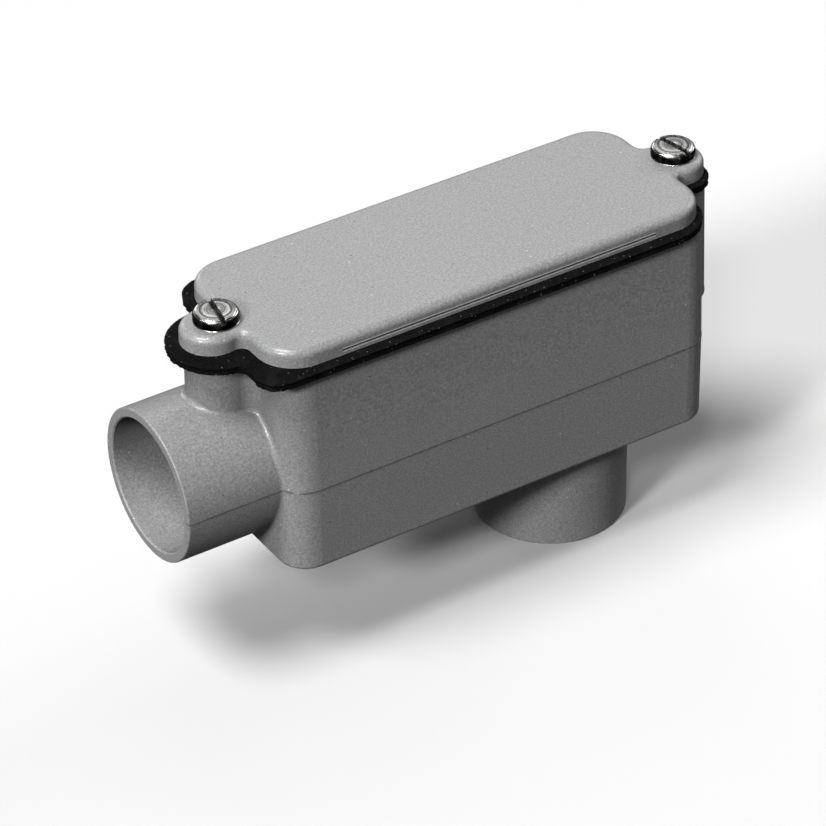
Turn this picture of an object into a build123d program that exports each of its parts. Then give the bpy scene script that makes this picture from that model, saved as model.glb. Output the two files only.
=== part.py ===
from build123d import *
import os

# Right-angle access fitting for 2-1/2 inch rigid plastic conduit: one hub at an end, one hub at the
# back, and a removable cover over the whole front.
# Millimetres. The origin is the centre of the back hub's mouth. +Z points to the cover, and the end
# hub points along -X.

# Conduit sockets. The throat behind each socket goes on with the conduit's own bore.
conduit_diameter = 73.0
conduit_wall = 5.1
socket_clearance = 0.2
socket_depth = 44.5
socket_lead_in = 0.7
throat_round = 2.0
hub_wall = 5.4
hub_rim_round = 0.9
hub_root_round = 2.5
end_hub_length = 54.2
back_hub_length = 60.0
back_hub_draft = 0.5

# Housing box, with its length and width at the mould parting line, where it is widest
box_length = 263.0
box_width = 106.0
box_height = 120.0
hub_corner_lap = 5.5  # the box corners start this far inside the sides of the end hub
wall = 5.2
floor_thickness = 5.0
end_hub_underside = 7.2  # from the back of the box
back_hub_axis_to_far_wall = 69.75
upper_draft = 1.0
lower_draft = 0.4
core_draft = 0.25
bottom_edge_radius = 2.5
cavity_edge_radius = 3.0
flash_reach = 0.25
flash_height = 0.5
flash_start = 1.6

# Screw bosses, outside the end walls
screw_outset = 9.3  # from the end wall to the screw's axis
boss_radius = 18.5
boss_neck_radius = 7.0
boss_hole_floor = 5.3  # left above the end hub, under the blind hole
boss_hole_chamfer = 0.8

# Gasket, cut by hand: it reaches further past the box at one end and one side than at the others
gasket_thickness = 4.0
gasket_past_hub_end = 13.8
gasket_skew = 7.5  # less than that at the back corner
gasket_past_far_end = 0.7
gasket_past_front = 3.7
gasket_past_back = -0.7
gasket_square_corner = 12.0
gasket_hub_lobe_radius = 28.0
gasket_hub_lobe_room = 8.5
gasket_far_lobe_radius = 16.5
gasket_far_lobe_room = 13.0
gasket_far_lobe_shift = -5.0
gasket_neck_radius = 5.0
gasket_opening_inset = 1.0
gasket_hole_clearance = 1.0

# Cover
cover_end_lap = 0.9
cover_side_inset = 2.8
cover_shift = -1.6  # laid a little toward the end hub
cover_thickness = 9.8
ear_room = 11.8
cover_draft = 1.5
cover_edge_radius = 4.2
ear_radius = 16.5
ear_reach = 1.7
ear_neck_radius = 5.0
cover_plate = 4.4
cover_rim = 9.0
recess_edge_radius = 1.2
rib_width = 3.0
rib_height = 1.3
rib_pitch = 60.0
rib_count = 3
groove_end_margin = 36.8
groove_height = 0.9
groove_depth = 0.6
groove_above_seat = 2.4
cover_hole_clearance = 0.6

# Screws
screw_diameter = 12.7
screw_end_room = 5.3
screw_tip_chamfer = 1.4
thread_clearance = 0.06
head_diameter = 24.0
head_side_height = 3.6
head_height = 6.6
head_top_diameter = 19.2
slot_width = 2.8
slot_depth = 3.0
slot_angle_hub_end = 79.0
slot_angle_far_end = 99.0

# Heights and places that follow from those sizes
socket_radius = (conduit_diameter + socket_clearance) / 2
throat_radius = conduit_diameter / 2 - conduit_wall
hub_radius = socket_radius + hub_wall
box_corner_radius = box_width / 2 - hub_radius + hub_corner_lap
end_hub_axis_height = hub_radius + end_hub_underside
box_bottom = back_hub_length
box_top = box_bottom + box_height
parting_height = box_bottom + end_hub_axis_height
cover_seat = box_top + gasket_thickness
cover_top = cover_seat + cover_thickness
box_centre_x = back_hub_axis_to_far_wall - box_length / 2
hub_end_wall_x = box_centre_x - box_length / 2
end_hub_mouth_x = hub_end_wall_x - end_hub_length
cover_length = box_length + 2 * cover_end_lap
cover_width = box_width - 2 * cover_side_inset
cover_corner_radius = cover_width / 2 - ear_radius - ear_room
cover_centre_x = box_centre_x + cover_shift
gasket_front_y = -box_width / 2 - gasket_past_front
gasket_back_y = box_width / 2 + gasket_past_back
gasket_width = gasket_back_y - gasket_front_y
gasket_hub_corner = gasket_width / 2 - gasket_hub_lobe_radius - gasket_hub_lobe_room
gasket_far_corner = gasket_width / 2 - gasket_far_lobe_radius - gasket_far_lobe_room
gasket_centre_y = (gasket_front_y + gasket_back_y) / 2
gasket_hub_x = hub_end_wall_x - gasket_past_hub_end
gasket_far_x = back_hub_axis_to_far_wall + gasket_past_far_end
gasket_corners = {
    (gasket_hub_x, gasket_front_y): gasket_square_corner,
    (gasket_far_x, gasket_front_y): gasket_far_corner,
    (gasket_far_x, gasket_back_y): gasket_far_corner,
    (gasket_hub_x + gasket_skew, gasket_back_y): gasket_hub_corner,
}
screw_spacing = box_length + 2 * screw_outset
screw_x = {"hub_end": box_centre_x - screw_spacing / 2, "far_end": box_centre_x + screw_spacing / 2}
slot_angle = {"hub_end": slot_angle_hub_end, "far_end": slot_angle_far_end}
screw_radius = screw_diameter / 2
boss_hole_radius = screw_radius + thread_clearance / 2
boss_hole_depth = box_top - (parting_height + hub_radius) - boss_hole_floor
screw_length = cover_thickness + gasket_thickness + boss_hole_depth - screw_end_room

end_hub_mouth = Plane(origin=(end_hub_mouth_x, 0, parting_height), x_dir=(0, 1, 0), z_dir=(-1, 0, 0))
back_hub_mouth = Plane(origin=(0, 0, 0), x_dir=(1, 0, 0), z_dir=(0, 0, -1))


def lobed_plan(centre_x, height, length, width, corner_radius, lobe_radius, lobe_spacing, neck_radius):
    """A rounded rectangle with a round lobe at each end, blended in by a concave neck."""
    with BuildSketch(Plane.XY.offset(height)) as plan:
        with Locations((centre_x, 0)):
            RectangleRounded(length, width, corner_radius)
            with GridLocations(lobe_spacing, 0, 2, 1):
                Circle(lobe_radius)
        necks = plan.vertices().filter_by(
            lambda v: abs(abs(v.X - centre_x) - length / 2) < 0.001
            and abs(v.Y) < width / 2 - corner_radius - 0.001
        )
        fillet(necks, neck_radius)
    return plan.sketch


upper_plan = lobed_plan(
    box_centre_x,
    parting_height,
    box_length,
    box_width,
    box_corner_radius,
    boss_radius,
    screw_spacing,
    boss_neck_radius,
)
cover_plan = lobed_plan(
    cover_centre_x,
    cover_seat,
    cover_length,
    cover_width,
    cover_corner_radius,
    ear_radius,
    screw_spacing + 2 * ear_reach,
    ear_neck_radius,
)

# The fine ridge of flash that the two mould halves leave along the parting line
with BuildSketch(Plane.XY.offset(parting_height - flash_height / 2)) as flash_plan:
    add(
        lobed_plan(
            box_centre_x,
            0,
            box_length + 2 * flash_reach,
            box_width + 2 * flash_reach,
            box_corner_radius + flash_reach,
            boss_radius + flash_reach,
            screw_spacing,
            boss_neck_radius - flash_reach,
        )
    )
    with Locations((box_centre_x, 0)):
        Rectangle(
            box_centre_x - end_hub_mouth_x - flash_start,
            2 * (hub_radius + flash_reach),
            align=(Align.MAX, Align.CENTER),
        )
    hub_roots = flash_plan.vertices().filter_by(
        lambda v: abs(v.X - hub_end_wall_x) < box_corner_radius
        and abs(abs(v.Y) - hub_radius - flash_reach) < 0.001
    )
    fillet(hub_roots, hub_root_round - flash_reach)

# The wiring space, as the moulding core that makes it: open at the top and a little wider there
core_height = box_top - parting_height
with BuildPart() as core:
    with BuildSketch(Plane.XY.offset(parting_height)):
        with Locations((box_centre_x, 0)):
            RectangleRounded(box_length - 2 * wall, box_width - 2 * wall, box_corner_radius - wall)
    extrude(amount=core_height, taper=-core_draft)
    with BuildSketch(Plane.XY.offset(parting_height)):
        with Locations((box_centre_x, 0)):
            RectangleRounded(box_length - 2 * wall, box_width - 2 * wall, box_corner_radius - wall)
    extrude(amount=-(end_hub_axis_height - floor_thickness), taper=core_draft)
    fillet(core.faces().sort_by(Axis.Z)[0].edges(), cavity_edge_radius)

# Housing: one moulding, drafted both ways from the parting line
with BuildPart() as housing:
    extrude(upper_plan, amount=core_height, taper=upper_draft)
    with BuildSketch(Plane.XY.offset(parting_height)):
        with Locations((box_centre_x, 0)):
            RectangleRounded(box_length, box_width, box_corner_radius)
    extrude(amount=-end_hub_axis_height, taper=lower_draft)
    fillet(housing.faces().sort_by(Axis.Z)[0].edges(), bottom_edge_radius)
    with BuildSketch(back_hub_mouth):
        Circle(hub_radius)
    extrude(amount=-(back_hub_length + floor_thickness), taper=-back_hub_draft)
    back_root = housing.edges().filter_by(GeomType.CIRCLE).filter_by(
        lambda e: abs(e.center().Z - box_bottom) < 0.001
    )
    fillet(back_root.sort_by(SortBy.RADIUS)[-1], hub_root_round)
    with BuildSketch(end_hub_mouth):
        Circle(hub_radius)
    extrude(amount=-(end_hub_length + wall))
    end_barrel = housing.faces().filter_by(GeomType.CYLINDER).sort_by(Axis.X)[0]
    end_root = end_barrel.edges().filter_by(GeomType.LINE, reverse=True).filter_by(
        lambda e: e.center().X > end_hub_mouth_x + end_hub_length / 4
    )
    fillet([end_root.sort_by(Axis.Z)[0], end_root.sort_by(Axis.Z)[-1]], hub_root_round)
    mouth_rims = housing.edges().filter_by(GeomType.CIRCLE).filter_by(
        lambda e: abs(e.center().X - end_hub_mouth_x) < 0.001 or abs(e.center().Z) < 0.001
    )
    fillet(mouth_rims, hub_rim_round)
    extrude(flash_plan.sketch, amount=flash_height)
    add(core.part, mode=Mode.SUBTRACT)
    with Locations(end_hub_mouth):
        CounterBoreHole(throat_radius, socket_radius, socket_depth, depth=end_hub_length + 2 * wall)
    with Locations(back_hub_mouth):
        CounterBoreHole(
            throat_radius, socket_radius, socket_depth, depth=back_hub_length + 2 * floor_thickness
        )
    with Locations((screw_x["hub_end"], 0, box_top), (screw_x["far_end"], 0, box_top)):
        Hole(boss_hole_radius, depth=boss_hole_depth)
    socket_mouths = housing.edges().filter_by(GeomType.CIRCLE).filter_by(
        lambda e: abs(e.radius - socket_radius) < 0.001
        and (abs(e.center().X - end_hub_mouth_x) < 0.001 or abs(e.center().Z) < 0.001)
    )
    chamfer(socket_mouths, socket_lead_in)
    boss_mouths = housing.edges().filter_by(GeomType.CIRCLE).filter_by(
        lambda e: abs(e.radius - boss_hole_radius) < 0.001 and abs(e.center().Z - box_top) < 0.001
    )
    chamfer(boss_mouths, boss_hole_chamfer)
    throats = housing.faces().filter_by(GeomType.CYLINDER).filter_by(
        lambda f: abs(f.radius - throat_radius) < 0.001
    )
    throat_mouths = throats.edges().filter_by(GeomType.LINE, reverse=True).filter_by(
        lambda e: e.center().X > hub_end_wall_x and e.center().Z > box_bottom
    )
    fillet(throat_mouths, throat_round)
housing.part.label = "housing"

# Gasket: one sheet of foam
with BuildPart() as gasket:
    with BuildSketch(Plane.XY.offset(box_top)) as gasket_plan:
        with BuildLine():
            Polyline(*gasket_corners, close=True)
        make_face()
        for corner, radius in gasket_corners.items():
            fillet(gasket_plan.vertices().sort_by_distance((*corner, box_top))[0], radius)
        for end, lobe_y, lobe_radius in (
            ("hub_end", gasket_centre_y, gasket_hub_lobe_radius),
            ("far_end", gasket_far_lobe_shift, gasket_far_lobe_radius),
        ):
            with Locations((screw_x[end], lobe_y)):
                Circle(lobe_radius)
            arcs = gasket_plan.edges().filter_by(GeomType.CIRCLE)
            lobe = arcs.sort_by(lambda e: abs(e.radius - lobe_radius))[0]
            fillet(lobe.vertices(), gasket_neck_radius)
    extrude(amount=gasket_thickness)
    with BuildSketch(Plane.XY.offset(box_top)):
        with Locations((box_centre_x, 0)):
            RectangleRounded(
                box_length - 2 * wall - 2 * gasket_opening_inset,
                box_width - 2 * wall - 2 * gasket_opening_inset,
                box_corner_radius - wall - gasket_opening_inset,
            )
    extrude(amount=gasket_thickness, mode=Mode.SUBTRACT)
    with Locations((screw_x["hub_end"], 0, cover_seat), (screw_x["far_end"], 0, cover_seat)):
        Hole(screw_radius + gasket_hole_clearance, depth=gasket_thickness)
gasket.part.label = "gasket"

# Cover: a hollow-backed moulding with an ear at each end
with BuildPart() as cover:
    extrude(cover_plan, amount=cover_thickness, taper=cover_draft)
    fillet(cover.faces().sort_by(Axis.Z)[-1].edges(), cover_edge_radius)
    with BuildSketch(Plane.XY.offset(cover_seat)):
        with Locations((cover_centre_x, 0)):
            RectangleRounded(
                cover_length - 2 * cover_rim,
                cover_width - 2 * cover_rim,
                cover_corner_radius - cover_rim,
            )
    extrude(amount=cover_thickness - cover_plate, mode=Mode.SUBTRACT)
    recess_ceiling = cover.faces().filter_by(Axis.Z).filter_by(
        lambda f: abs(f.center().Z - (cover_top - cover_plate)) < 0.001
    )
    fillet(recess_ceiling.edges(), recess_edge_radius)
    with BuildSketch(Plane.XY.offset(cover_top - cover_plate - rib_height)):
        with Locations((cover_centre_x, 0)):
            with GridLocations(rib_pitch, 0, rib_count, 1):
                Rectangle(rib_width, cover_width - 2 * cover_rim)
    extrude(amount=rib_height)
    for side in (-1, 1):
        with BuildSketch(Plane.XY.offset(cover_seat + groove_above_seat)):
            with Locations((cover_centre_x, side * cover_width / 2)):
                SlotOverall(cover_length - 2 * groove_end_margin, 2 * groove_depth)
        extrude(amount=groove_height, mode=Mode.SUBTRACT)
    with Locations((screw_x["hub_end"], 0, cover_top), (screw_x["far_end"], 0, cover_top)):
        Hole(screw_radius + cover_hole_clearance, depth=cover_thickness)
cover.part.label = "cover"


def slotted_screw(end):
    """A round-head machine screw under the cover's ear at one end, turned to its slot's angle."""
    slot_plane = Plane.XY.offset(cover_top + head_height - slot_depth).rotated((0, 0, slot_angle[end]))
    with BuildPart() as screw:
        with BuildSketch(Plane.XZ) as half:
            with BuildLine():
                Polyline(
                    (0, cover_top + head_height),
                    (0, cover_top - screw_length),
                    (screw_radius - screw_tip_chamfer, cover_top - screw_length),
                    (screw_radius, cover_top - screw_length + screw_tip_chamfer),
                    (screw_radius, cover_top),
                    (head_diameter / 2, cover_top),
                    (head_diameter / 2, cover_top + head_side_height),
                )
                Line((0, cover_top + head_height), (head_top_diameter / 2, cover_top + head_height))
                TangentArc(
                    (head_diameter / 2, cover_top + head_side_height),
                    (head_top_diameter / 2, cover_top + head_height),
                    tangent=(0, 1),
                )
            make_face()
        revolve(axis=Axis.Z)
        with BuildSketch(slot_plane):
            Rectangle(head_diameter + 2, slot_width)
        extrude(amount=slot_depth + 1, mode=Mode.SUBTRACT)
    return screw.part.moved(Location((screw_x[end], 0, 0)))


os.makedirs("parts", exist_ok=True)
for end in ("hub_end", "far_end"):
    screw = slotted_screw(end)
    screw.label = "screw_" + end
    export_step(screw, "parts/screw_" + end + ".step")
export_step(housing.part, "parts/housing.step")
export_step(gasket.part, "parts/gasket.step")
export_step(cover.part, "parts/cover.step")
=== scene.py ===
from math import cos, pi, radians, sin

import bpy
from mathutils import Matrix, Vector


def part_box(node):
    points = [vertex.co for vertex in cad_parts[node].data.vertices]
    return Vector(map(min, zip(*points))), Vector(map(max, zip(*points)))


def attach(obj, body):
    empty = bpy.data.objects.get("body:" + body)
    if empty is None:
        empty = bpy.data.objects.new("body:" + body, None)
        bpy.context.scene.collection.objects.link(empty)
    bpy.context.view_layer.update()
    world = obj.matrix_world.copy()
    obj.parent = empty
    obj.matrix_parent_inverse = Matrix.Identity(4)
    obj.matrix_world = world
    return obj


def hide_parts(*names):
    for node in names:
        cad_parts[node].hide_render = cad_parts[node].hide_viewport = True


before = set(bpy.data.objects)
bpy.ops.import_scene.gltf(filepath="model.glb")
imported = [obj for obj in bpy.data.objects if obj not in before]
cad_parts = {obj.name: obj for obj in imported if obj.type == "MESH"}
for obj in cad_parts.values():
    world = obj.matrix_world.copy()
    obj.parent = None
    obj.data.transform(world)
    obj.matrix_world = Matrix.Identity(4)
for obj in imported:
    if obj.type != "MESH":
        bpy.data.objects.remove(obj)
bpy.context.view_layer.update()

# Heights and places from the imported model, in metres
cover_low, cover_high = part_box("cover")
gasket_low, gasket_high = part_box("gasket")
screw_box = {end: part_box("screw_" + end) for end in ("hub_end", "far_end")}
screw_x = {end: (low.x + high.x) / 2 for end, (low, high) in screw_box.items()}
cover_top = cover_high.z
cover_middle = (cover_low.x + cover_high.x) / 2
head_top = screw_box["hub_end"][1].z
shank_bottom = screw_box["hub_end"][0].z

# The mould's parting line on the housing, and the groove low on the cover's long sides
parting_height = 0.1092
groove_height = cover_low.z + 0.00285
groove_half_length = 0.0956

# The screws
slot_turn = {"hub_end": radians(79), "far_end": radians(99)}
slot_width = 0.0028
slot_depth = 0.0030
slot_edge_round = 0.00022
neck_radius = 0.00615
core_radius = 0.00530
point_radius = 0.00440
thread_pitch = 0.00195
thread_turns = 13
thread_crest = 0.00030
thread_flank = 0.00078
thread_depth = 0.00105
hair = 0.00002  # what counts as touching when faces and edges are picked by place

# Colours, as linear red, green and blue
plastic_grey = (0.249, 0.250, 0.251)
plastic_deep = (0.240, 0.241, 0.242)
plastic_full = (0.258, 0.259, 0.259)
grain_light = (0.330, 0.331, 0.331)
grain_dark = (0.160, 0.161, 0.161)
pale_dust = (0.66, 0.66, 0.64)
dark_dust = (0.05, 0.05, 0.05)
# Pale edges: partly rubbed wear, partly a painted highlight
rubbed_edge_and_highlight = (0.50, 0.50, 0.49)
# Painted shade under the parting line's ridge
parting_painted_shade = (0.07, 0.07, 0.07)
# Painted highlights on the groove's lips, and painted shade inside the groove
groove_painted_highlight = (0.80, 0.80, 0.79)
groove_painted_shade = (0.03, 0.03, 0.03)
foam_black = (0.008, 0.008, 0.008)
foam_pit = (0.0015, 0.0015, 0.0015)
foam_wall = (0.006, 0.006, 0.006)
foam_patch = (0.010, 0.010, 0.010)
foam_crumb = (0.095, 0.095, 0.093)
zinc_bright = (0.66, 0.66, 0.645)
# Painted shade for the screw's slot and the side of its head
zinc_shaded = (0.055, 0.053, 0.050)
zinc_shade_dark = (0.025, 0.024, 0.023)
zinc_shade_light = (0.16, 0.155, 0.15)
ring_dark = (0.11, 0.109, 0.107)
ring_light = (0.84, 0.84, 0.83)
grime = (0.16, 0.158, 0.155)
scratch_dark = (0.10, 0.10, 0.098)
paper_white = (0.60, 0.60, 0.60)


# Materials

def finish_for(name, slot_colour, roughness, metallic=0.0):
    """A new material, its shader, and a function that adds nodes to it."""
    material = bpy.data.materials.new(name)
    material.use_nodes = True
    tree = material.node_tree
    shader = tree.nodes["Principled BSDF"]
    shader.inputs["Base Color"].default_value = (*slot_colour, 1)
    shader.inputs["Roughness"].default_value = roughness
    shader.inputs["Metallic"].default_value = metallic
    material.diffuse_color = (*slot_colour, 1)

    def add(kind, settings=None, **inputs):
        """A node with its settings. An input goes by its name, or by i and its number."""
        node = tree.nodes.new("ShaderNode" + kind)
        for key, value in (settings or {}).items():
            setattr(node, key, value)
        for key, value in inputs.items():
            numbered = key[0] == "i" and key[1:].isdigit()
            socket = node.inputs[int(key[1:]) if numbered else key.replace("_", " ")]
            if isinstance(value, bpy.types.NodeSocket):
                tree.links.new(value, socket)
            else:
                socket.default_value = value
        return node

    return material, shader, add


def feed(shader, socket_name, value):
    """A pattern goes into the shader."""
    shader.id_data.links.new(value, shader.inputs[socket_name])


def reckon(add, operation, first, second=0.0):
    """One sum on two numbers."""
    return add("Math", {"operation": operation}, i0=first, i1=second).outputs[0]


def product(add, *values):
    """All the numbers times each other."""
    result = values[0]
    for value in values[1:]:
        result = reckon(add, "MULTIPLY", result, value)
    return result


def faded(add, value, low, high, to_low=0.0, to_high=1.0):
    """A smooth step of a value from one level to another."""
    return add(
        "MapRange", {"interpolation_type": "SMOOTHSTEP"},
        Value=value, From_Min=low, From_Max=high, To_Min=to_low, To_Max=to_high,
    ).outputs[0]


def blended(add, factor, first, second):
    """One colour over another. Each is a pattern or three numbers."""
    first, second = (
        colour if isinstance(colour, bpy.types.NodeSocket) else (*colour, 1)
        for colour in (first, second)
    )
    return add("Mix", {"data_type": "RGBA"}, i0=factor, i6=first, i7=second).outputs[2]


def grain(add, place, size, detail=2.0, rough=0.5):
    """Noise whose patches are about this many metres across."""
    return add("TexNoise", Vector=place, Scale=0.5 / size, Detail=detail, Roughness=rough).outputs[0]


def specks(add, place, spacing, share, radius):
    """Round specks, one to a cell, in this share of the cells."""
    cells = add("TexVoronoi", Vector=place, Scale=1 / spacing)
    near = faded(add, cells.outputs["Distance"], radius / spacing * 0.6, radius / spacing, 1.0, 0.0)
    chosen = add("SeparateColor", i0=cells.outputs["Color"]).outputs[0]
    kept = reckon(add, "LESS_THAN", chosen, share)
    return product(add, near, kept)


def bumped(add, height, distance, strength, below=None):
    """Relief so many metres high, on top of the relief below it."""
    inputs = {"Height": height, "Distance": distance, "Strength": strength}
    if below is not None:
        inputs["Normal"] = below
    return add("Bump", **inputs).outputs[0]


def parting_line(add, object_place):
    """A thin line of painted shade at the parting height, outside on the box, the bosses and the end hub.
    """
    where = add("SeparateXYZ", Vector=object_place).outputs
    above = reckon(add, "ABSOLUTE", reckon(add, "SUBTRACT", where["Z"], parting_height))
    line = faded(add, above, 0.00030, 0.00060, 1.0, 0.0)
    side = reckon(add, "ABSOLUTE", where["Y"])
    on_box_side = reckon(add, "GREATER_THAN", side, 0.0495)
    on_far_wall = reckon(add, "GREATER_THAN", where["X"], 0.067)
    on_box = reckon(add, "MAXIMUM", on_box_side, on_far_wall)
    on_hub_side = reckon(add, "GREATER_THAN", side, 0.0395)
    past_hub_wall = reckon(add, "LESS_THAN", where["X"], -0.189)
    on_hub = product(add, on_hub_side, past_hub_wall)
    return product(add, line, reckon(add, "MAXIMUM", on_box, on_hub))


def groove_lines(add, object_place):
    """Painted shade in the cover's groove, and painted highlights on the lips above and below it."""
    where = add("SeparateXYZ", Vector=object_place).outputs
    off = reckon(add, "ABSOLUTE", reckon(add, "SUBTRACT", where["Z"], groove_height))
    side = reckon(add, "ABSOLUTE", where["Y"])
    along = reckon(add, "ABSOLUTE", reckon(add, "SUBTRACT", where["X"], cover_middle))
    on_side = product(
        add, reckon(add, "GREATER_THAN", side, 0.0480), reckon(add, "LESS_THAN", along, groove_half_length)
    )
    groove_shade = product(add, faded(add, off, 0.00040, 0.00055, 1.0, 0.0), on_side)
    lip_highlights = product(
        add, faded(add, off, 0.00050, 0.00065), faded(add, off, 0.00110, 0.00140, 1.0, 0.0), on_side
    )
    return groove_shade, lip_highlights


def moulded_plastic(name, shift, parting=False, groove=False):
    """Grey rigid plastic as it leaves the mould: mottled, finely grained, specked, rubbed pale at its
    edges, where the pale band is also a painted highlight.
    """
    material, shader, add = finish_for(name, plastic_grey, 0.30)
    object_place = add("TexCoord").outputs["Object"]
    place = add("Mapping", Vector=object_place, Location=shift).outputs[0]

    # Mottle and grain
    cloud = grain(add, place, 0.045, 3.0)
    mottle = grain(add, place, 0.0022, 3.0, 0.6)
    fine = grain(add, place, 0.00055, 1.0, 0.5)
    tone = reckon(add, "ADD", product(add, cloud, 0.35), product(add, mottle, 0.65))
    colour = blended(add, faded(add, tone, 0.36, 0.64), plastic_deep, plastic_full)
    colour = blended(add, faded(add, fine, 0.50, 0.70, 0.0, 0.60), colour, grain_light)
    colour = blended(add, faded(add, fine, 0.50, 0.32, 0.0, 0.50), colour, grain_dark)

    # Dust, pale and dark
    pale = specks(add, place, spacing=0.0080, share=0.45, radius=0.00050)
    colour = blended(add, product(add, pale, 0.75), colour, pale_dust)
    elsewhere = add("Mapping", Vector=place, Location=(0.31, 0.17, 0.23)).outputs[0]
    dark = specks(add, elsewhere, spacing=0.0090, share=0.45, radius=0.00055)
    colour = blended(add, product(add, dark, 0.85), colour, dark_dust)

    # Edges, where a rounded normal leaves the true one, are rubbed pale, and this pale band also serves as
    # a painted highlight along the edges
    rounded = add("Bevel", {"samples": 6}, Radius=0.0011).outputs[0]
    true = add("NewGeometry").outputs["Normal"]
    likeness = add("VectorMath", {"operation": "DOT_PRODUCT"}, i0=rounded, i1=true).outputs["Value"]
    edge = product(add, faded(add, likeness, 0.985, 0.90), faded(add, mottle, 0.42, 0.60))
    colour = blended(add, product(add, edge, 0.55), colour, rubbed_edge_and_highlight)

    if parting:
        # Painted shade along the parting line
        colour = blended(add, product(add, parting_line(add, object_place), 0.75), colour, parting_painted_shade)
    if groove:
        # Painted highlights on the groove's lips and painted shade inside it
        groove_shade, lip_highlights = groove_lines(add, object_place)
        colour = blended(add, product(add, lip_highlights, 0.55), colour, groove_painted_highlight)
        colour = blended(add, product(add, groove_shade, 0.90), colour, groove_painted_shade)
    feed(shader, "Base Color", colour)

    # Half-gloss skin with faint sink marks, pores and dust
    shader.inputs["Coat Weight"].default_value = 0.22
    shader.inputs["Coat Roughness"].default_value = 0.13
    gloss = reckon(add, "SUBTRACT", faded(add, cloud, 0.30, 0.70, 0.36, 0.42), product(add, edge, 0.06))
    feed(shader, "Roughness", gloss)
    sink = bumped(add, cloud, 0.0004, 0.35)
    pores = bumped(add, reckon(add, "ADD", mottle, product(add, fine, 0.6)), 0.00006, 0.45, sink)
    dust = bumped(add, reckon(add, "SUBTRACT", pale, dark), 0.00008, 0.5, pores)
    feed(shader, "Normal", dust)
    return material


def black_foam(name):
    """Closed-cell foam: near black, pitted, with pale crumbs and torn cells on its cut edges."""
    material, shader, add = finish_for(name, foam_black, 0.9)
    shader.inputs["Specular IOR Level"].default_value = 0.05
    place = add("TexCoord").outputs["Object"]
    cells = add("TexVoronoi", Vector=place, Scale=1100.0).outputs["Distance"]
    patch = grain(add, place, 0.006, 3.0)
    crumbs = specks(add, place, spacing=0.0028, share=0.55, radius=0.00055)
    colour = blended(add, faded(add, cells, 0.15, 0.75), foam_pit, foam_wall)
    colour = blended(add, faded(add, patch, 0.50, 0.72, 0.0, 0.6), colour, foam_patch)
    colour = blended(add, product(add, crumbs, 0.8), colour, foam_crumb)
    feed(shader, "Base Color", colour)
    feed(shader, "Roughness", faded(add, patch, 0.35, 0.70, 0.92, 0.62))
    pits = bumped(add, cells, 0.00035, 0.9)
    torn = bumped(add, reckon(add, "ADD", patch, crumbs), 0.0005, 0.6, pits)
    feed(shader, "Normal", torn)
    return material


def plated_steel(name, centre, shaded=False):
    """Bright zinc on turned steel: rings round the screw's axis, handling scratches, a little grime; when
    shaded, a darker copy that carries painted shade.
    """
    material, shader, add = finish_for(name, zinc_shaded if shaded else zinc_bright, 0.38, 1.0)
    place = add("Mapping", Vector=add("TexCoord").outputs["Object"], Location=-centre).outputs[0]
    patch = grain(add, place, 0.0030, 2.0, 0.5)

    # Rings follow the distance from the axis, a little uneven
    flat = add("VectorMath", {"operation": "MULTIPLY"}, i0=place, i1=(1.0, 1.0, 0.0)).outputs[0]
    reach = add("VectorMath", {"operation": "LENGTH"}, i0=flat).outputs["Value"]
    uneven = reckon(add, "ADD", reach, product(add, patch, 0.0016))
    rings = add(
        "TexNoise", {"noise_dimensions": "1D"}, W=uneven, Scale=620.0, Detail=3.0, Roughness=0.7
    ).outputs[0]

    # Scratches are noise drawn out one way
    drawn_out = add("Mapping", Vector=place, Rotation=(0.3, 0.2, 0.7), Scale=(60.0, 900.0, 60.0)).outputs[0]
    scratch = add("TexNoise", Vector=drawn_out, Scale=4.0, Detail=2.0).outputs[0]
    lined = faded(add, scratch, 0.62, 0.72)

    # The darker copy is painted shade for the slot and the side of the head
    if shaded:
        colour = blended(add, faded(add, patch, 0.35, 0.65), zinc_shade_dark, zinc_shade_light)
    else:
        colour = blended(add, faded(add, rings, 0.40, 0.58), ring_dark, ring_light)
        colour = blended(add, faded(add, patch, 0.56, 0.70, 0.0, 0.5), colour, grime)
        colour = blended(add, product(add, lined, 0.5), colour, scratch_dark)
    feed(shader, "Base Color", colour)
    rough = reckon(add, "ADD", faded(add, patch, 0.3, 0.7, 0.22, 0.34), product(add, lined, 0.15))
    feed(shader, "Roughness", rough)
    turned = bumped(add, rings, 0.00020, 0.6)
    dents = bumped(add, reckon(add, "SUBTRACT", patch, lined), 0.00014, 0.5, turned)
    feed(shader, "Normal", dents)
    return material


def wear(piece, *materials):
    """The piece has these materials and no others."""
    piece.data.materials.clear()
    for material in materials:
        piece.data.materials.append(material)


# Working by hand

def pick(piece, *with_it):
    """These and nothing else are selected, and the first is the active one."""
    bpy.ops.object.select_all(action="DESELECT")
    for item in (piece, *with_it):
        item.select_set(True)
    bpy.context.view_layer.objects.active = piece


def start_piece(name):
    """What an operator has just added gets its name."""
    piece = bpy.context.object
    piece.name = name
    piece.data.name = name
    return piece


def settle(piece):
    """The piece's place goes into its mesh."""
    pick(piece)
    bpy.ops.object.transform_apply(location=True, rotation=True, scale=True)


def apply_modifier(piece, kind, **settings):
    bpy.context.view_layer.objects.active = piece
    modifier = piece.modifiers.new(kind.lower(), kind)
    for key, value in settings.items():
        setattr(modifier, key, value)
    bpy.ops.object.modifier_apply(modifier=modifier.name)


def select_edges(piece, test):
    """In edit mode: selects the edges that pass a test, and nothing else."""
    bpy.ops.mesh.select_mode(type="EDGE")
    bpy.ops.mesh.select_all(action="DESELECT")
    bpy.ops.object.mode_set(mode="OBJECT")
    for edge in piece.data.edges:
        edge.select = test(edge)
    bpy.ops.object.mode_set(mode="EDIT")


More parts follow.
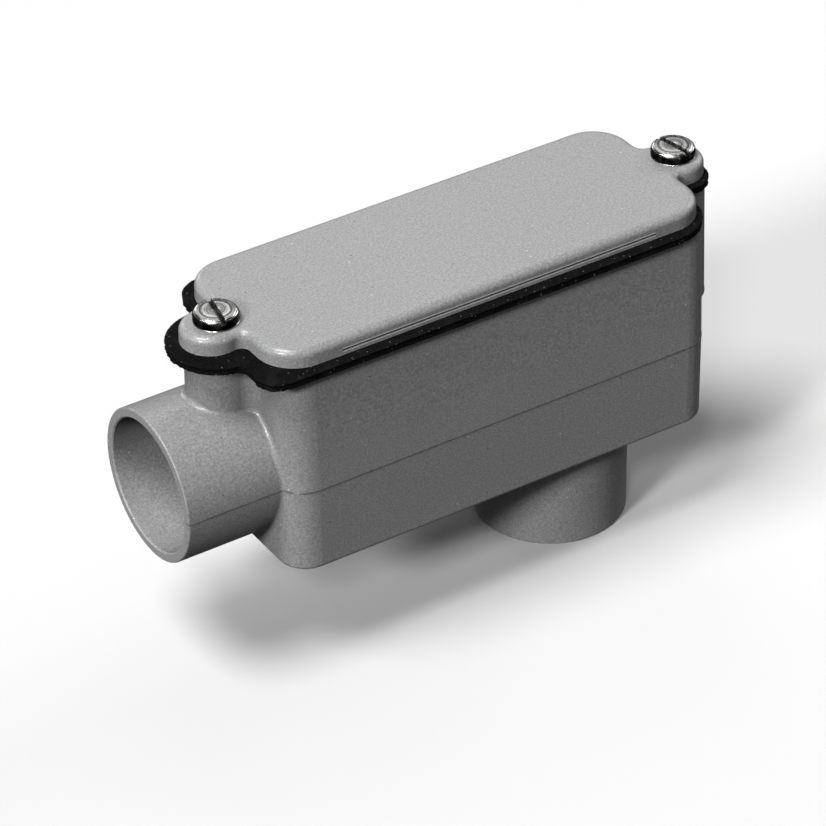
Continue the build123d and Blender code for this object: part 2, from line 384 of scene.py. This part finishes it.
def start_point(name, place):
    """A new piece of one point, left in edit mode."""
    bpy.ops.object.select_all(action="DESELECT")
    bpy.ops.mesh.primitive_plane_add(size=0.001, location=place)
    piece = start_piece(name)
    settle(piece)
    bpy.ops.object.mode_set(mode="EDIT")
    bpy.ops.mesh.select_mode(type="VERT")
    bpy.ops.mesh.select_all(action="SELECT")
    bpy.ops.mesh.merge(type="CENTER")
    return piece


def draw_on(steps):
    """In edit mode: the point is extruded by each step in turn."""
    for step in steps:
        bpy.ops.mesh.extrude_region_move(TRANSFORM_OT_translate={"value": step})


def face_outwards():
    """In edit mode: all faces are turned outwards, and edit mode ends."""
    bpy.ops.mesh.select_all(action="SELECT")
    bpy.ops.mesh.normals_make_consistent(inside=False)
    bpy.ops.object.mode_set(mode="OBJECT")


def turned_shape(name, centre, outline, steps):
    """A lathe: an outline of (radius, height) corners, spun round a vertical axis."""
    piece = start_point(name, (centre.x + outline[0][0], centre.y, outline[0][1]))
    draw_on(
        (after[0] - before[0], 0, after[1] - before[1]) for before, after in zip(outline, outline[1:])
    )
    bpy.ops.mesh.select_all(action="SELECT")
    bpy.ops.mesh.spin(steps=steps, angle=2 * pi, center=(centre.x, centre.y, 0), axis=(0, 0, 1))
    bpy.ops.mesh.select_all(action="SELECT")
    bpy.ops.mesh.remove_doubles(threshold=0.000002)
    face_outwards()
    return piece


def wound_thread(centre):
    """The thread: one flank, crest and flank, wound up the shank."""
    thread = start_point("thread", (centre.x + 0.00520, 0, shank_bottom + 0.0010))
    draw_on((
        (thread_depth, 0, thread_flank),
        (0, 0, thread_crest),
        (-thread_depth, 0, thread_flank),
    ))
    bpy.ops.object.mode_set(mode="OBJECT")
    # The Screw modifier winds round the object's own origin
    thread.data.transform(Matrix.Translation(-centre))
    apply_modifier(
        thread, "SCREW", axis="Z", angle=2 * pi, screw_offset=thread_pitch, iterations=thread_turns,
        steps=40, render_steps=40, use_merge_vertices=True, merge_threshold=0.00005,
    )
    thread.data.transform(Matrix.Translation(centre))
    bpy.ops.object.mode_set(mode="EDIT")
    face_outwards()
    return thread


def slotted_screw(end):
    """A round-head machine screw: crowned head, sawn slot, rolled thread, chamfered point."""
    name = "screw_" + end + "_turned"
    centre = Vector((screw_x[end], 0, 0))
    radius = screw_box[end][1].x - centre.x
    crown = [(0.0, head_top), (0.0040, head_top - 0.00003), (0.0070, head_top - 0.00012)]
    shoulder = [
        (radius - 0.0030 + 0.0030 * cos(radians(t)), cover_top + 0.0036 + 0.0028 * sin(radians(t)))
        for t in range(80, -1, -10)
    ]
    underside = [
        (radius, cover_top + 0.00080),
        (radius - 0.00020, cover_top + 0.00060),
        (radius - 0.00002, cover_top + 0.00040),
        (radius - 0.00025, cover_top),
    ]
    shank = [
        (neck_radius, cover_top),
        (neck_radius, cover_top - 0.0040),
        (core_radius, cover_top - 0.0048),
        (core_radius, shank_bottom + 0.0012),
        (point_radius, shank_bottom),
        (0.0, shank_bottom),
    ]
    screw = turned_shape(name, centre, crown + shoulder + underside + shank, 96)

    # The slot is sawn across the head, and its two long edges are broken
    bpy.ops.object.select_all(action="DESELECT")
    bpy.ops.mesh.primitive_cube_add(size=1, location=(centre.x, 0, head_top))
    saw = start_piece("saw")
    saw.scale = (0.030, slot_width, 2 * slot_depth)
    saw.rotation_euler = (0, 0, slot_turn[end])
    settle(saw)
    screw.select_set(True)
    apply_modifier(screw, "BOOLEAN", operation="DIFFERENCE", object=saw, solver="EXACT")
    bpy.data.objects.remove(saw)

    across = Vector((-sin(slot_turn[end]), cos(slot_turn[end]), 0))
    slot_floor = head_top - slot_depth
    vertices = screw.data.vertices

    def in_slot(point):
        return abs((point - centre).dot(across)) < slot_width / 2 + hair and point.z > slot_floor - hair

    def on_long_edge(edge):
        first, second = (vertices[v].co for v in edge.vertices)
        raised = all(in_slot(point) and point.z > slot_floor + hair for point in (first, second))
        return raised and abs((first - second).dot(across)) < 0.0001

    pick(screw)
    bpy.ops.object.mode_set(mode="EDIT")
    select_edges(screw, on_long_edge)
    bpy.ops.mesh.bevel(offset=slot_edge_round, segments=2, affect="EDGES")
    bpy.ops.object.mode_set(mode="OBJECT")

    pick(screw, wound_thread(centre))
    bpy.ops.object.join()

    # The slot and the side of the head get the darker copy with painted shade, the rest is bright
    middle = Vector((centre.x, 0, head_top))
    wear(screw, plated_steel(name + "_zinc", middle), plated_steel(name + "_slot", middle, shaded=True))
    for face in screw.data.polygons:
        height = face.center.z
        deep = in_slot(face.center) and height < head_top - 0.0008
        outermost = (face.center - centre).xy.length > radius - 0.0012
        on_side = outermost and cover_top + 0.0008 < height < cover_top + 0.0055
        face.material_index = 1 if deep or on_side else 0
    bpy.ops.object.shade_smooth_by_angle(angle=radians(32))
    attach(screw, "screw_" + end)
    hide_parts("screw_" + end)


def foam_sheet():
    """The gasket, from a copy of its solid: finer mesh and uneven cut edges."""
    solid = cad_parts["gasket"]
    pick(solid)
    bpy.ops.object.duplicate()
    sheet = start_piece("gasket_foam")
    for key in list(sheet.keys()):
        del sheet[key]
    sheet.parent = None
    bpy.ops.object.mode_set(mode="EDIT")
    bpy.ops.mesh.select_all(action="SELECT")
    bpy.ops.mesh.remove_doubles(threshold=0.000002)
    bpy.ops.object.mode_set(mode="OBJECT")
    apply_modifier(sheet, "REMESH", mode="VOXEL", voxel_size=0.0009, use_smooth_shade=True)

    # The knife wanders in long and in short waves
    low, high = gasket_low.z + 0.0004, gasket_high.z - 0.0004
    edges = sheet.vertex_groups.new(name="cut_edges")
    edges.add([v.index for v in sheet.data.vertices if low < v.co.z < high], 1.0, "REPLACE")
    for wave, depth in ((0.014, 0.0011), (0.0028, 0.0006)):
        cut = bpy.data.textures.new("knife_wander", "CLOUDS")
        cut.noise_scale = wave
        apply_modifier(
            sheet, "DISPLACE", texture=cut, texture_coords="LOCAL", direction="NORMAL",
            vertex_group="cut_edges", mid_level=0.9, strength=depth,
        )
    wear(sheet, black_foam("gasket_foam_black"))
    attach(sheet, "housing")
    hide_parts("gasket")


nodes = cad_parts
wear(nodes["housing"], moulded_plastic("housing_grey_plastic", (0.0, 0.0, 0.0), parting=True))
wear(nodes["cover"], moulded_plastic("cover_grey_plastic", (0.4, 0.2, 0.1), groove=True))
foam_sheet()
for end in screw_x:
    slotted_screw(end)


# Studio: floor, lights and camera

bpy.ops.object.select_all(action="DESELECT")
bpy.ops.mesh.primitive_plane_add(size=40, location=(0, 0, -0.0002))
floor = start_piece("studio_floor")
settle(floor)
paper, paper_shader, _ = finish_for("floor_paper", paper_white, 0.9)
paper_shader.inputs["Specular IOR Level"].default_value = 0.0
wear(floor, paper)
# The floor takes shadows and throws no light back, so that the undersides stay dark
floor.visible_diffuse = False
floor.visible_glossy = False

world = bpy.data.worlds.new("studio")
world.use_nodes = True
world.node_tree.nodes["Background"].inputs["Color"].default_value = (1.0, 1.0, 1.0, 1)
world.node_tree.nodes["Background"].inputs["Strength"].default_value = 0.055
bpy.context.scene.world = world


def softbox(name, turn, height, spread, strength):
    """An even light, so many degrees round from the front to the hub end, and so many above the floor."""
    lamp = bpy.data.lights.new(name, "SUN")
    lamp.energy = strength
    lamp.angle = radians(spread)
    # Direct light only, so that the bore and the gaps stay dark
    lamp.cycles.max_bounces = 0
    holder = bpy.data.objects.new(name, lamp)
    bpy.context.scene.collection.objects.link(holder)
    turn, height = radians(turn), radians(height)
    towards = Vector((-sin(turn) * cos(height), -cos(turn) * cos(height), sin(height)))
    holder.rotation_euler = towards.to_track_quat("Z", "Y").to_euler()


softbox("key", turn=68, height=30, spread=10, strength=2.25)
softbox("overhead", turn=90, height=66, spread=25, strength=3.10)
softbox("rear_low", turn=184, height=14, spread=24, strength=0.40)
softbox("rear", turn=208, height=44, spread=30, strength=0.26)
softbox("front_key", turn=42, height=42, spread=8, strength=0.62)
softbox("low_front", turn=2, height=5, spread=12, strength=0.11)
softbox("far_side_fill", turn=258, height=25, spread=40, strength=0.95)

# The photograph's camera: its angles, what it looks at, how far away it is, and its lens in pixels
azimuth, elevation, roll = radians(-32.0311), radians(34.8839), radians(-1.2009)
aim = Vector((-0.08716, 0, 0.09154))
distance = 2.20972
lens_in_pixels = 4185.29
photo_width = 826

camera_data = bpy.data.cameras.new("camera")
camera_data.sensor_width = 36
camera_data.lens = camera_data.sensor_width * lens_in_pixels / photo_width
camera_data.clip_start = 0.05
camera_data.clip_end = 60
camera = bpy.data.objects.new("camera", camera_data)
bpy.context.scene.collection.objects.link(camera)
back = Vector((sin(azimuth) * cos(elevation), -cos(azimuth) * cos(elevation), sin(elevation)))
right = Vector((cos(azimuth), sin(azimuth), 0))
up = Vector((-sin(azimuth) * sin(elevation), cos(azimuth) * sin(elevation), cos(elevation)))
right, up = right * cos(roll) + up * sin(roll), up * cos(roll) - right * sin(roll)
facing = Matrix((right, up, back)).transposed().to_4x4()
camera.matrix_world = Matrix.Translation(aim + back * distance) @ facing
bpy.context.scene.camera = camera
bpy.context.scene.view_settings.view_transform = "Standard"

bpy.context.view_layer.update()
